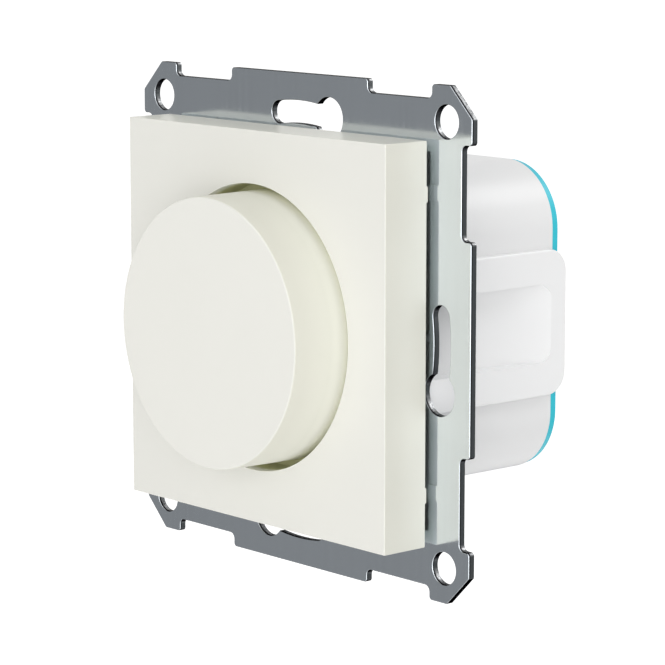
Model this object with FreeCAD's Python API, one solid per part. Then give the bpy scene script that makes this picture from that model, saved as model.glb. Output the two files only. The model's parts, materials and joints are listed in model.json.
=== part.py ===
import FreeCAD, Part
import math
import os

from FreeCAD import Vector

# Rotary push dimmer for a 60 mm flush wall box, in millimetres.
# X points right and Z up as seen from the room, and Y points into the wall.
# The origin is on the knob's axis, in the back face of the steel support frame,
# which is the face that lies on the wall.

# Steel support frame
frame_sheet = 1.0
frame_corner_cut = 4.3
frame_corner_round = 0.5
ear_length = 7.85
ear_round = 0.5
notch_depth = 1.94
notch_round = 0.9
tongue_length = 29.5
corner_hole_inset = 4.9
corner_hole_radius = 2.31

# Keyhole slots of the support frame, angles clockwise from the middle of each side
screw_circle = 60.0
frame_margin = 5.5
slot_width = 3.25
slot_start = -7.8
slot_sweep = 20.4
key_entry_radius = 2.975
key_entry_offset = 0.2

# Clearances between pieces of one assembly
snug = 0.05
loose = 0.1
running = 0.06

# How far cutters run past a face, and how near two points count as one
past = 1.0
same_place = 0.0001

# Sides of the square, on which details of frame and plate repeat
sides = 4

# Plastic carrier behind the support frame, with the boss that stands through it
carrier_plate = 1.6
boss_height = 2.3
boss_radius = 10.8
key_width = 3.0
key_length = 2.0
key_height = 1.0
key_radius = 8.4
tongue_wall = 1.2
tongue_depth = 2.0
tongue_run = 12.0

# Centre plate and the round well that the knob sinks into
plate_size = 55.9
plate_depth = 7.45
plate_rim_gap = 1.15
plate_front_wall = 1.8
plate_side_wall = 1.7
plate_edge_break = 0.2
opening_edge_break = 0.2
well_wall = 1.4
well_floor = 1.9
plate_rib = 1.0
plate_rib_drop = 2.4
foot_length = 2.1
foot_from_corner = 6.2
foot_height = 0.25

# Threaded bush with its washer and nut
bush_radius = 5.0
bush_flange = 1.0
washer_thickness = 0.5
washer_radius = 7.8
nut_thickness = 2.3
nut_across_flats = 14.0
nut_sides = 6
thread_end = 0.8

# Knob
knob_stand = 8.3
knob_face_radius = 19.1
knob_flare = 0.15
knob_gap = 1.15
knob_edge_round = 0.5
knob_edge_steps = 2
knob_wall = 1.5
knob_face_wall = 1.7
knob_socket_radius = 4.6
knob_ribs = 6
knob_rib = 1.0
knob_rib_depth = 3.6
push_travel = 1.0
knob_floor_spare = 0.7
socket_spare = 0.4

# Shaft and the spring clip that grips its flat
shaft_radius = 2.0
shaft_flat = 1.5
shaft_end_gap = 0.5
shaft_flat_length = 6.6
collar_radius = 2.8
collar_length = 0.8
clip_sheet = 0.3
clip_width = 2.4
clip_length = 5.0
clip_height = 1.1

# Rotary control behind the bush
control_radius = 8.5
control_can = 0.5
track_thickness = 1.0
track_hole = 3.2
wiper_radius = 6.6
wiper_hub_radius = 3.6
wiper_plate = 0.8
wiper_hub = 2.5
wiper_arm = 1.6

# Push switch behind the rotary control
switch_size = 13.0
switch_wall = 0.9
plunger_radius = 1.8
plunger_stem = 1.2
plunger_collar = 0.8
plunger_half = 4.0
plunger_lead = 0.8
bridge_sheet = 0.4
bridge_width = 2.0
spring_wire = 0.4
spring_radius = 1.8
spring_turns = 3
contact_radius = 0.5
contact_offset = 3.2
contact_gap = 0.1
contact_stand = 2.3

# White housing
housing_width = 46.68
housing_height = 45.24
housing_corner = 9.4
housing_wall = 1.8
screw_post_radius = 2.8
screw_post_inset = 5.55

# Side pads of the housing, with the claw scoops and the hooks over the rear cover
pad_stand = 1.16
pad_height = 21.0
pad_reach = 0.6
pad_corner = 3.3
hook_grip = 0.7
scoop_height = 11.3
scoop_corner = 2.4
scoop_depth = 2.6
scoop_middle = 10.0
scoop_end_gap = 3.0
scoop_backing = 1.1

# Rear cover
cover_plate = 1.19
cover_post_radius = 1.6
wire_hole_radius = 1.8
wire_funnel = 0.6

# Screws through frame and carrier into the housing
screw_radius = 1.2
screw_head_radius = 2.5
screw_head = 0.9
screw_reach = 7.0
screw_slot = 0.6
screw_spare = 1.0

# Circuit board
board_thickness = 1.6
board_gap = 0.6
rear_room = 11.13

# Terminals along the bottom of the rear side
terminals = 3
terminal_post_gap = 1.8
terminal_cage_wall = 0.9
terminal_height = 8.0
terminal_back_gap = 1.5
terminal_block_wall = 1.5
terminal_floor = 0.6
terminal_screw_radius = 1.5
terminal_screw_head = 2.1
terminal_head_length = 1.6
terminal_screw_reach = 2.0
screwdriver_radius = 2.4

# Power parts on the front of the board
heat_sheet = 1.5
heat_width = 30.0
heat_top_gap = 0.9
triac_length = 15.6
triac_gap = 0.22
triac_tab = 1.3
triac_body = 4.4
triac_body_length = 9.2
triac_screw_radius = 1.5
triac_screw_head = 2.7
triac_screw_head_length = 1.5
triac_lead = 0.8
triac_lead_pitch = 2.54
fuse_radius = 2.5
fuse_length = 20.0
fuse_cap = 5.0
fuse_cap_wall = 0.25
fuse_inset = 6.22
fuse_stand = 1.4
fuse_clip_sheet = 0.4
fuse_clip_width = 3.6
fuse_clip_mouth = 1.75
fuse_clip_foot = 2.0

# Filter parts on the rear of the board
choke_radius = 8.3
choke_hole = 4.2
choke_back_gap = 3.13
choke_wire = 0.9
choke_wall_gap = 2.54
choke_z = 6.8
choke_gap_angle = 50.0
capacitor_gap = 3.0
capacitor_wall_gap = 2.14
capacitor_height = 8.4
capacitor_back_gap = 1.53
capacitor_z = 1.6
capacitor_round = 0.8
smoother_radius = 3.2
smoother_depth = 7.5
smoother_edge_break = 0.5
smoother_inset = 5.34
smoother_z = 0.0
resistor_radius = 1.15
resistor_length = 6.4
resistor_pitch = 3.6
resistor_inset = 5.54
resistor_lead = 0.3
resistor_lead_reach = 1.2
diac_radius = 0.9
diac_length = 4.0
diac_z = -8.6

# Levels along Y and other sizes worked out from those above
frame_half = screw_circle / 2 + frame_margin
frame_front = -frame_sheet
plate_half = plate_size / 2
knob_foot_radius = knob_face_radius + knob_flare
opening_radius = knob_foot_radius + knob_gap
plate_rim = frame_front - plate_rim_gap
plate_front = plate_rim - plate_depth
floor_back = -boss_height
floor_front = floor_back - well_floor
washer_front = floor_front - washer_thickness
nut_front = washer_front - nut_thickness
bush_front = nut_front - thread_end
knob_front = plate_front - knob_stand
knob_taper = knob_flare / knob_stand
knob_rim = floor_front - push_travel - knob_floor_spare
knob_inside = knob_front + knob_face_wall
socket_back = bush_front - push_travel - socket_spare
shaft_front = knob_inside + shaft_end_gap
flange_back = carrier_plate + bush_flange
track_back = flange_back + track_thickness
collar_front = flange_back + snug
wiper_front = collar_front + collar_length + push_travel + snug
wiper_back = wiper_front + wiper_hub
control_back = wiper_back + snug + control_can
shaft_back = control_back + snug
plunger_front = shaft_back + snug
switch_front = control_back
switch_cavity_front = switch_front + switch_wall
plunger_collar_front = switch_cavity_front + snug
bridge_front = plunger_collar_front + plunger_collar
bridge_back = bridge_front + bridge_sheet
contact_front = bridge_back + push_travel + contact_gap
switch_cavity_back = contact_front + contact_stand
switch_back = switch_cavity_back + switch_wall
board_depth = switch_back
board_back = board_depth + board_thickness
cover_front = board_back + rear_room
housing_depth = cover_front + cover_plate
pad_back = housing_depth + pad_reach
scoop_end = pad_back - scoop_end_gap
housing_half_x = housing_width / 2
housing_half_z = housing_height / 2
cavity_half_x = housing_half_x - housing_wall
cavity_half_z = housing_half_z - housing_wall
cavity_corner = housing_corner - housing_wall
post_x = housing_half_x - screw_post_inset
post_z = housing_half_z - screw_post_inset
half_block = post_x - cover_post_radius - terminal_post_gap
terminal_cage = (2 * half_block - (terminals + 1) * terminal_block_wall) / terminals
terminal_pitch = terminal_cage + terminal_block_wall
terminal_depth = rear_room - terminal_block_wall - terminal_back_gap
heat_top = cavity_half_z - heat_top_gap - tongue_wall
triac_width = heat_top - control_radius - triac_gap
triac_level = heat_top - triac_width / 2
triac_hole_x = triac_length / 2 - (triac_length - triac_body_length) / 2
board_half_x = cavity_half_x - board_gap
board_half_z = cavity_half_z - board_gap
choke_x = choke_radius + choke_wire + choke_wall_gap - cavity_half_x
capacitor_start = choke_x + choke_radius + choke_wire + capacitor_gap
capacitor_end = cavity_half_x - capacitor_wall_gap
capacitor_depth = rear_room - capacitor_back_gap
choke_core = rear_room - 2 * choke_wire - choke_back_gap
smoother_x = smoother_inset - board_half_x
resistor_x = board_half_x - resistor_inset
corner_signs = [(1, 1), (1, -1), (-1, -1), (-1, 1)]

Y_AXIS = Vector(0, 1, 0)
CENTRE = Vector(0, 0, 0)


def outline(corners, y):
    """Closed outline in the plane at y, from corners given as (x, z, radius)."""
    points = [Vector(x, y, z) for x, z, radius in corners]
    count = len(points)
    arcs = []
    for i in range(count):
        here = points[i]
        radius = corners[i][2]
        back = (points[i - 1] - here).normalize()
        onward = (points[(i + 1) % count] - here).normalize()
        half = back.getAngle(onward) / 2
        reach = radius / math.tan(half)
        inward = (back + onward).normalize()
        middle = here + inward * (radius / math.sin(half) - radius)
        arcs.append((here + back * reach, middle, here + onward * reach))
    edges = []
    for i in range(count):
        first, middle, last = arcs[i]
        edges.append(Part.Arc(first, middle, last).toShape())
        start_of_next = arcs[(i + 1) % count][0]
        if last.distanceToPoint(start_of_next) > same_place:
            edges.append(Part.LineSegment(last, start_of_next).toShape())
    return Part.Wire(edges)


def prism(corners, y0, y1):
    """Solid of a rounded outline between two levels."""
    return Part.Face(outline(corners, y0)).extrude(Vector(0, y1 - y0, 0))


def rounded_block(half_x, half_z, radius, y0, y1, x=0.0, z=0.0):
    """Block with rounded corners in the XZ plane, centred on x and z."""
    corners = [(x + sx * half_x, z + sz * half_z, radius) for sx, sz in corner_signs]
    return prism(corners, y0, y1)


def block(x0, x1, y0, y1, z0, z1):
    """Plain block between two corners."""
    return Part.makeBox(x1 - x0, y1 - y0, z1 - z0, Vector(x0, y0, z0))


def rod(radius, y0, y1, x=0.0, z=0.0):
    """Cylinder along Y."""
    return Part.makeCylinder(radius, y1 - y0, Vector(x, y0, z), Y_AXIS)


def ring(outer, inner, y0, y1, x=0.0, z=0.0):
    """Tube along Y."""
    return rod(outer, y0, y1, x, z).cut(rod(inner, y0, y1, x, z))


def turned(profile):
    """Solid turned about the Y axis from a closed profile of (radius, y) points."""
    points = [Vector(radius, y, 0) for radius, y in profile]
    wire = Part.makePolygon(points + [points[0]])
    return Part.Face(wire).revolve(CENTRE, Y_AXIS, 360)


def spun(shape, angle):
    """Copy turned about the knob's axis, clockwise as seen from the room."""
    copy = shape.copy()
    copy.rotate(CENTRE, Y_AXIS, angle)
    return copy


def mirrored(shape):
    """Copy on the other side, left to right."""
    return shape.mirror(CENTRE, Vector(1, 0, 0))


def flat_cut(radius, flat, y0, y1):
    """The part of a shaft's round that its flat takes away."""
    return block(-radius, radius, y0, y1, flat, 2 * radius)


def edges_at(shape, y, inside=None):
    """Edges that lie in the plane at y, only those nearer the axis than inside if it is given."""
    found = []
    for edge in shape.Edges:
        box = edge.BoundBox
        flat = abs(box.YMin - y) < same_place and abs(box.YMax - y) < same_place
        near = inside is None or max(abs(box.XMin), abs(box.XMax)) < inside
        if flat and near:
            found.append(edge)
    return found


# Support frame

def frame_corners():
    """Outline of the frame: one quarter from the top's tongue round to the right one, four times."""
    tongue = tongue_length / 2
    low = frame_half - notch_depth
    ear = frame_half - ear_length
    cut = frame_half - frame_corner_cut
    quarter = [
        (tongue, frame_half, ear_round),
        (tongue, low, notch_round),
        (ear, low, notch_round),
        (ear, frame_half, ear_round),
        (cut, frame_half, frame_corner_round),
        (frame_half, cut, frame_corner_round),
        (frame_half, ear, ear_round),
        (low, ear, notch_round),
        (low, tongue, notch_round),
        (frame_half, tongue, ear_round),
    ]
    corners = []
    for turn in range(sides):
        corners += quarter
        quarter = [(z, -x, radius) for x, z, radius in quarter]
    return corners


def keyhole():
    """Cutter of one keyhole slot: a band along the screw circle and the round entry at its end."""
    middle = screw_circle / 2
    y0 = frame_front - past
    y1 = past
    low = middle - slot_width / 2
    high = middle + slot_width / 2
    section = Part.Face(Part.makePolygon([
        Vector(0, y0, low),
        Vector(0, y1, low),
        Vector(0, y1, high),
        Vector(0, y0, high),
        Vector(0, y0, low),
    ]))
    band = spun(section, slot_start).revolve(CENTRE, Y_AXIS, slot_sweep)
    narrow_end = spun(rod(slot_width / 2, y0, y1, 0, middle), slot_start)
    entry = spun(rod(key_entry_radius, y0, y1, 0, middle + key_entry_offset), slot_start + slot_sweep)
    return band.fuse([narrow_end, entry])


def support_frame():
    plate = prism(frame_corners(), frame_front, 0)
    corner = frame_half - corner_hole_inset
    cutters = [rod(boss_radius + loose, frame_front - past, past)]
    for side, (sx, sz) in enumerate(corner_signs):
        cutters.append(rod(corner_hole_radius, frame_front - past, past, sx * corner, sz * corner))
        cutters.append(rod(screw_radius + loose, frame_front - past, past, sx * post_x, sz * post_z))
        cutters.append(spun(keyhole(), 90 * side))
    return plate.cut(cutters).removeSplitter()


# Plastic carrier

def boss_keys(grow):
    """Two keys on the boss that stop the centre plate from turning."""
    half = key_width / 2 + grow
    near = key_radius - key_length / 2 - grow
    far = key_radius + key_length / 2 + grow
    right = block(near, far, floor_back - key_height - grow, floor_back, -half, half)
    return [right, mirrored(right)]


def carrier():
    plate = rounded_block(housing_half_x, housing_half_z, housing_corner, 0, carrier_plate)
    half_x = cavity_half_x - loose
    half_z = cavity_half_z - loose
    run = tongue_run / 2
    back = carrier_plate + tongue_depth
    tongues = [
        block(-run, run, carrier_plate, back, half_z - tongue_wall, half_z),
        block(-run, run, carrier_plate, back, -half_z, tongue_wall - half_z),
    ]
    body = plate.fuse([rod(boss_radius, floor_back, 0)] + boss_keys(0) + tongues)
    holes = [rod(bush_radius + loose, floor_back - past, carrier_plate + past)]
    for sx, sz in corner_signs:
        holes.append(rod(screw_radius + loose, -past, carrier_plate + past, sx * post_x, sz * post_z))
    return body.cut(holes).removeSplitter()


# Centre plate

def centre_plate():
    outer = block(-plate_half, plate_half, plate_front, plate_rim, -plate_half, plate_half)
    upright = [edge for edge in outer.Edges if edge.BoundBox.YLength > plate_depth / 2]
    outer = outer.makeChamfer(plate_edge_break, upright + edges_at(outer, plate_front))
    inside = plate_half - plate_side_wall
    under = plate_front + plate_front_wall
    shell = outer.cut(block(-inside, inside, under, plate_rim + past, -inside, inside))
    well = rod(opening_radius + well_wall, under, floor_back)
    ribs = []
    rib_start = opening_radius + well_wall / 2
    rib_back = plate_rim - plate_rib_drop
    half_rib = plate_rib / 2
    side_rib = block(rib_start, inside + plate_side_wall / 2, under, rib_back, -half_rib, half_rib)
    corner_rib = block(rib_start, inside * math.sqrt(2), under, rib_back, -half_rib, half_rib)
    for turn in range(sides):
        ribs.append(spun(side_rib, 90 * turn))
        ribs.append(spun(corner_rib, 90 * turn + 45))
    body = shell.fuse([well] + ribs + plate_feet())
    opening = rod(opening_radius, plate_front - past, floor_front)
    bush_hole = rod(bush_radius + loose, floor_front - past, 0)
    body = body.cut([opening, bush_hole] + boss_keys(loose)).removeSplitter()
    return body.makeChamfer(opening_edge_break, edges_at(body, plate_front, opening_radius + past))


def plate_feet():
    """Small feet on the rim, two on each side."""
    feet = []
    far = plate_half - foot_from_corner
    near = far - foot_length
    inside = plate_half - plate_side_wall
    for turn in range(sides):
        for low, high in ((near, far), (-far, -near)):
            foot = block(low, high, plate_rim, plate_rim + foot_height, inside, plate_half)
            feet.append(spun(foot, 90 * turn))
    return feet


# Bush, washer and nut

def bush():
    collar = rod(bush_radius, bush_front, carrier_plate)
    flange = rod(control_radius, carrier_plate, flange_back)
    return collar.fuse(flange).cut(rod(shaft_radius + running, bush_front - past, flange_back + past))


def washer():
    return ring(washer_radius, bush_radius + loose, washer_front, floor_front)


def nut():
    corner = nut_across_flats / 2 / math.cos(math.pi / nut_sides)
    points = []
    for turn in range(nut_sides + 1):
        angle = 2 * math.pi / nut_sides * turn
        points.append(Vector(corner * math.cos(angle), nut_front, corner * math.sin(angle)))
    hexagon = Part.Face(Part.makePolygon(points)).extrude(Vector(0, nut_thickness, 0))
    return hexagon.cut(rod(bush_radius + snug, nut_front - past, washer_front + past))


# Knob

def knob_radius(y):
    """Outer radius of the knob's tapered side at a level."""
    return knob_face_radius + knob_taper * (y - knob_front)


def knob():
    edge = knob_edge_round
    profile = [(0, knob_front)]
    for step in range(knob_edge_steps + 1):
        angle = math.pi / 2 * step / knob_edge_steps
        radius = knob_face_radius - edge + edge * math.sin(angle)
        profile.append((radius, knob_front + edge - edge * math.cos(angle)))
    profile += [
        (knob_radius(knob_rim), knob_rim),
        (knob_face_radius - knob_wall, knob_rim),
        (knob_face_radius - knob_wall, knob_inside),
        (knob_socket_radius, knob_inside),
        (knob_socket_radius, socket_back),
        (0, socket_back),
    ]
    rib_end = knob_face_radius - knob_wall / 2
    rib = block(knob_socket_radius / 2, rib_end, knob_inside - snug, knob_inside + knob_rib_depth,
                -knob_rib / 2, knob_rib / 2)
    ribs = [spun(rib, 360 / knob_ribs * turn) for turn in range(knob_ribs)]
    body = turned(profile).fuse(ribs)
    clip_half = clip_width / 2 + snug
    clip_room = block(-clip_half, clip_half, knob_inside, socket_back + past, 0, shaft_flat + clip_height)
    return body.cut([rod(shaft_radius + snug, knob_inside, socket_back + past), clip_room]).removeSplitter()


def knob_clip():
    """Bent spring strip between the shaft's flat and the socket."""
    low = shaft_flat
    high = shaft_flat + clip_height
    start = shaft_front
    half = clip_width / 2
    outside = rounded_strip(low, high, start, start + clip_length, clip_height / 2)
    bend = clip_height / 2 - clip_sheet
    hollow = rounded_strip(low + clip_sheet, high - clip_sheet, start + clip_sheet,
                           start + clip_length, bend)
    return outside.cut(hollow).extrude(Vector(clip_width, 0, 0)).translate(Vector(-half, 0, 0))


def rounded_strip(low, high, start, end, bend):
    """Flat shape in the YZ plane: a strip with a round front end."""
    middle = (low + high) / 2
    tip = Vector(0, start, middle)
    top = Vector(0, start + bend, high)
    bottom = Vector(0, start + bend, low)
    edges = [
        Part.Arc(bottom, tip, top).toShape(),
        Part.LineSegment(top, Vector(0, end, high)).toShape(),
        Part.LineSegment(Vector(0, end, high), Vector(0, end, low)).toShape(),
        Part.LineSegment(Vector(0, end, low), bottom).toShape(),
    ]
    return Part.Face(Part.Wire(edges))


# Shaft and rotary control

def shaft():
    bar = rod(shaft_radius, shaft_front, shaft_back)
    collar = rod(collar_radius, collar_front, collar_front + collar_length)
    front_flat = flat_cut(shaft_radius, shaft_flat, shaft_front, shaft_front + shaft_flat_length)
    drive_start = collar_front + collar_length
    drive_flat = flat_cut(shaft_radius, shaft_flat, drive_start, shaft_back)
    return bar.fuse(collar).cut([front_flat, drive_flat]).removeSplitter()


def resistance_track():
    """Insulating disc that carries the printed resistance ring, which the wiper runs on."""
    return ring(control_radius - control_can - snug, track_hole, flange_back, track_back)


def wiper():
    hub = rod(wiper_hub_radius, wiper_front, wiper_back)
    disc = rod(wiper_radius, wiper_back - wiper_plate, wiper_back)
    arm_x = (wiper_radius + wiper_hub_radius) / 2
    arm_half = wiper_arm / 2
    arm_front = track_back + snug
    arm_back = wiper_back - wiper_plate
    arm = block(arm_x - arm_half, arm_x + arm_half, arm_front, arm_back, -arm_half, arm_half)
    bore = rod(shaft_radius + running, wiper_front - past, wiper_back + past)
    flat = flat_cut(shaft_radius + running, shaft_flat + running, wiper_front - past, wiper_back + past)
    bore = bore.cut(flat)
    return hub.fuse([disc, arm]).cut(bore).removeSplitter()


def control_can_shell():
    shell = ring(control_radius, control_radius - control_can, flange_back, control_back)
    lid = ring(control_radius, shaft_radius + running, control_back - control_can, control_back)
    return shell.fuse(lid).removeSplitter()


# Push switch

def switch_body():
    half = switch_size / 2
    room = plunger_half + loose
    case = rounded_block(half, half, switch_wall, switch_front, switch_back)
    cavity = block(-room, room, switch_cavity_front, switch_cavity_back, -room, room)
    hole = rod(shaft_radius + running, switch_front - past, switch_cavity_front + past)
    pins = contact_pins(contact_front, switch_back + past)
    return case.cut([cavity, hole] + pins).removeSplitter()


def switch_plunger():
    nose = rod(plunger_radius, plunger_front, plunger_collar_front)
    collar = rounded_block(plunger_half, plunger_half, plunger_lead, plunger_collar_front, bridge_front)
    stem_back = switch_cavity_back - push_travel - loose
    stem = rod(plunger_stem, bridge_front, stem_back)
    return nose.fuse([collar, stem]).removeSplitter()


def contact_bridge():
    reach = contact_offset + contact_radius
    strip = rounded_block(reach, bridge_width / 2, contact_radius, bridge_front, bridge_back)
    disc = rod(spring_radius + spring_wire, bridge_front, bridge_back)
    hole = rod(plunger_stem + snug, bridge_front - past, bridge_back + past)
    return strip.fuse(disc).cut(hole).removeSplitter()


def contact_pins(y0, y1):
    """The two round contact pins between two levels."""
    return [rod(contact_radius, y0, y1, sx * contact_offset, 0) for sx in (1, -1)]


def switch_contacts():
    return Part.makeCompound(contact_pins(contact_front, board_back))


def return_spring():
    """Coil spring between the bridge and the switch's rear wall."""
    wire = spring_wire / 2
    length = switch_cavity_back - bridge_back - spring_wire
    helix = Part.makeHelix(length / spring_turns, length, spring_radius)
    section = Part.makePolygon([
        Vector(spring_radius - wire, 0, 0),
        Vector(spring_radius, 0, wire),
        Vector(spring_radius + wire, 0, 0),
        Vector(spring_radius, 0, -wire),
        Vector(spring_radius - wire, 0, 0),
    ])
    coil = Part.Wire(helix.Edges).makePipeShell([section], True, True)
    coil.rotate(CENTRE, Vector(1, 0, 0), -90)
    return coil.translate(Vector(0, bridge_back + wire, 0))


# Housing

def housing():
    back = cover_front
    body = rounded_block(housing_half_x, housing_half_z, housing_corner, carrier_plate, back)
    hollow = rounded_block(cavity_half_x, cavity_half_z, cavity_corner, carrier_plate - past, back + past)
    body = body.cut(hollow)
    posts = []
    holes = []
    for sx, sz in corner_signs:
        x = sx * post_x
        z = sz * post_z
        post = rod(screw_post_radius, carrier_plate, board_depth, x, z)
        posts.append(post.common(rounded_block(housing_half_x, housing_half_z, housing_corner, 0, back)))
        pilot_end = carrier_plate + screw_reach + screw_spare
        holes.append(rod(screw_radius, carrier_plate - past, pilot_end, x, z))
    for x in terminal_places():
        access = Part.makeCylinder(screwdriver_radius, housing_wall + 2 * past,
                                   Vector(x, terminal_level(), -housing_half_z - past), Vector(0, 0, 1))
        holes.append(access)
    pad = side_pad()
    body = body.fuse(posts + [pad, mirrored(pad)]).cut(holes + [scoop(), mirrored(scoop())])
    return body.removeSplitter()


def side_profile(half, corner, y0, y1, x0, x1):
    """Slab on the right side: its rear corners are round and its front ones square."""
    points = [
        Vector(x0, y0, half),
        Vector(x0, y1 - corner, half),
        Vector(x0, y1, half - corner),
        Vector(x0, y1, corner - half),
        Vector(x0, y1 - corner, -half),
        Vector(x0, y0, -half),
    ]
    bulge = corner * math.sqrt(0.5)
    top = Vector(x0, y1 - corner + bulge, half - corner + bulge)
    bottom = Vector(x0, y1 - corner + bulge, corner - half - bulge)
    edges = [
        Part.LineSegment(points[0], points[1]).toShape(),
        Part.Arc(points[1], top, points[2]).toShape(),
        Part.LineSegment(points[2], points[3]).toShape(),
        Part.Arc(points[3], bottom, points[4]).toShape(),
        Part.LineSegment(points[4], points[5]).toShape(),
        Part.LineSegment(points[5], points[0]).toShape(),
    ]
    return Part.Face(Part.Wire(edges)).extrude(Vector(x1 - x0, 0, 0))


def side_pad():
    """Raised pad with its backing inside the wall, and the hook behind the rear cover."""
    half = pad_height / 2
    outside = housing_half_x + pad_stand
    slab = side_profile(half, pad_corner, carrier_plate, pad_back, housing_half_x - hook_grip, outside)
    room = block(0, housing_half_x + snug, cover_front, housing_depth + snug, -half - past, half + past)
    inner = block(0, cavity_half_x, carrier_plate, cover_front, -half - past, half + past)
    backing_half = scoop_height / 2 + housing_wall
    backing = block(cavity_half_x - scoop_backing, housing_half_x - housing_wall / 2,
                    carrier_plate + tongue_depth, board_depth, -backing_half, backing_half)
    return slab.cut([room, inner]).fuse(backing)


def scoop():
    """Cutter of the claw scoop: a wide concave sweep inside a round-ended outline."""
    outside = housing_half_x + pad_stand
    half_chord = scoop_end - scoop_middle
    radius = (half_chord ** 2 + scoop_depth ** 2) / (2 * scoop_depth)
    half = scoop_height / 2
    axis_x = outside - scoop_depth + radius
    sweep = Part.makeCylinder(radius, scoop_height, Vector(axis_x, scoop_middle, -half), Vector(0, 0, 1))
    window = side_profile(half, scoop_corner, carrier_plate - past, scoop_end,
                          outside - scoop_depth - past, outside + past)
    return sweep.common(window)


# Rear cover

def rear_cover():
    plate = rounded_block(housing_half_x, housing_half_z, housing_corner, cover_front, housing_depth)
    half_z = cavity_half_z - loose
    run = tongue_run / 2
    front = cover_front - tongue_depth
    posts = [block(-run, run, front, cover_front, half_z - tongue_wall, half_z)]
    for sx, sz in corner_signs:
        posts.append(rod(cover_post_radius, board_back, cover_front, sx * post_x, sz * post_z))
    holes = []
    for x in terminal_places():
        z = wire_level()
        holes.append(rod(wire_hole_radius, cover_front - past, housing_depth + past, x, z))
        holes.append(Part.makeCone(wire_hole_radius, wire_hole_radius + wire_funnel, wire_funnel,
                                   Vector(x, housing_depth - wire_funnel, z), Y_AXIS))
    return plate.fuse(posts).cut(holes).removeSplitter()


# Screws that hold frame, carrier and housing together

def frame_screws():
    screws = []
    for sx, sz in corner_signs:
        x = sx * post_x
        z = sz * post_z
        head = rod(screw_head_radius, frame_front - screw_head, frame_front, x, z)
        shank = rod(screw_radius, frame_front, carrier_plate + screw_reach, x, z)
        half = screw_slot / 2
        reach = screw_head_radius
        level = frame_front - screw_head / 2
        groove = block(x - reach, x + reach, frame_front - screw_head - past, level, z - half, z + half)
        screws.append(head.fuse(shank).cut(groove).removeSplitter())
    return Part.makeCompound(screws)


# Circuit board

def circuit_board():
    board = rounded_block(board_half_x, board_half_z, cavity_corner - board_gap, board_depth, board_back)
    return board.cut(contact_pins(board_depth - past, board_back + past))


# Terminals

def terminal_places():
    """Middles of the terminals along X."""
    first = -terminal_pitch * (terminals - 1) / 2
    return [first + terminal_pitch * i for i in range(terminals)]


def terminal_level():
    """Middle of the terminals along Y."""
    return board_back + terminal_block_wall + terminal_depth / 2


def cage_bottom():
    """Lowest level of the terminal cages, clear of the screw heads under them."""
    return -cavity_half_z + loose + terminal_head_length + terminal_floor


def wire_level():
    """Height at which the wires enter the cages."""
    return cage_bottom() + terminal_height / 2


def terminal_cages():
    cages = []
    half = terminal_cage / 2
    low = cage_bottom()
    y0 = terminal_level() - terminal_depth / 2
    y1 = y0 + terminal_depth
    for x in terminal_places():
        body = block(x - half, x + half, y0, y1, low, low + terminal_height)
        wall = terminal_cage_wall
        tunnel = block(x - half + wall, x + half - wall, y0 - past, y1 + past,
                       low + 2 * wall, low + terminal_height - wall)
        hole = upright_rod(terminal_screw_radius, x, low - past, low + 2 * wall + past)
        cages.append(body.cut([tunnel, hole]))
    return Part.makeCompound(cages)


def upright_rod(radius, x, z0, z1):
    """Cylinder along Z in the middle of a terminal."""
    return Part.makeCylinder(radius, z1 - z0, Vector(x, terminal_level(), z0), Vector(0, 0, 1))


def terminal_screws():
    screws = []
    low = cage_bottom()
    head_low = low - terminal_head_length
    tip = low + 2 * terminal_cage_wall + terminal_screw_reach
    half = screw_slot / 2
    for x in terminal_places():
        head = upright_rod(terminal_screw_head, x, head_low, low)
        shank = upright_rod(terminal_screw_radius, x, low, tip)
        near = terminal_level() - terminal_screw_head
        far = terminal_level() + terminal_screw_head
        groove = block(x - half, x + half, near, far, head_low - past, head_low + terminal_head_length / 2)
        screws.append(head.fuse(shank).cut(groove).removeSplitter())
    return Part.makeCompound(screws)


def terminal_block():
    """Insulating block on the board with one pocket for each cage."""
    half = terminal_cage / 2
    low = cage_bottom()
    y1 = terminal_level() + terminal_depth / 2
    top = low + terminal_height + terminal_block_wall
    body = block(-half_block, half_block, board_back, y1, low - terminal_floor, top)
    pockets = []
    for x in terminal_places():
        pockets.append(block(x - half - snug, x + half + snug, y1 - terminal_depth, y1 + past,
                             low, low + terminal_height + snug))
        pockets.append(upright_rod(terminal_screw_head + loose, x, low - terminal_block_wall, low + past))
    return body.cut(pockets).removeSplitter()


# Power parts on the front of the board

def heat_plate():
    """Aluminium sheet on the carrier, cut round the rotary control."""
    half = heat_width / 2
    sheet = block(-half, half, carrier_plate, carrier_plate + heat_sheet, 0, heat_top)
    cut_round = rod(control_radius + 2 * loose, 0, board_depth)
    below = block(-half - past, half + past, 0, board_depth, -past, control_radius / 2)
    posts = [rod(screw_post_radius + loose, 0, board_depth, sx * post_x, post_z) for sx in (1, -1)]
    hole = rod(triac_screw_radius - snug, 0, board_depth, triac_hole_x, triac_level)
    return sheet.cut([cut_round, below, hole] + posts).removeSplitter()


def triac():
    """Power package lying on the heat plate, with three leads to the board."""
    y0 = carrier_plate + heat_sheet
    z0 = triac_level - triac_width / 2
    x0 = -triac_length / 2
    tab = block(x0, x0 + triac_length, y0, y0 + triac_tab, z0, z0 + triac_width)
    hole = rod(triac_screw_radius + snug, y0 - past, y0 + triac_tab + past, triac_hole_x, triac_level)
    tab = tab.cut(hole)
    body = block(x0, x0 + triac_body_length, y0, y0 + triac_body, z0, z0 + triac_width)
    parts = [body]
    half = triac_lead / 2
    for step in (-1, 0, 1):
        z = triac_level + step * triac_lead_pitch
        y = y0 + triac_body / 2
        parts.append(block(x0 - 2 * triac_lead, x0 + triac_lead, y - half, y + half, z - half, z + half))
        parts.append(block(x0 - 2 * triac_lead, x0 - triac_lead, y - half, board_depth, z - half, z + half))
    return tab.fuse(parts).removeSplitter()


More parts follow.
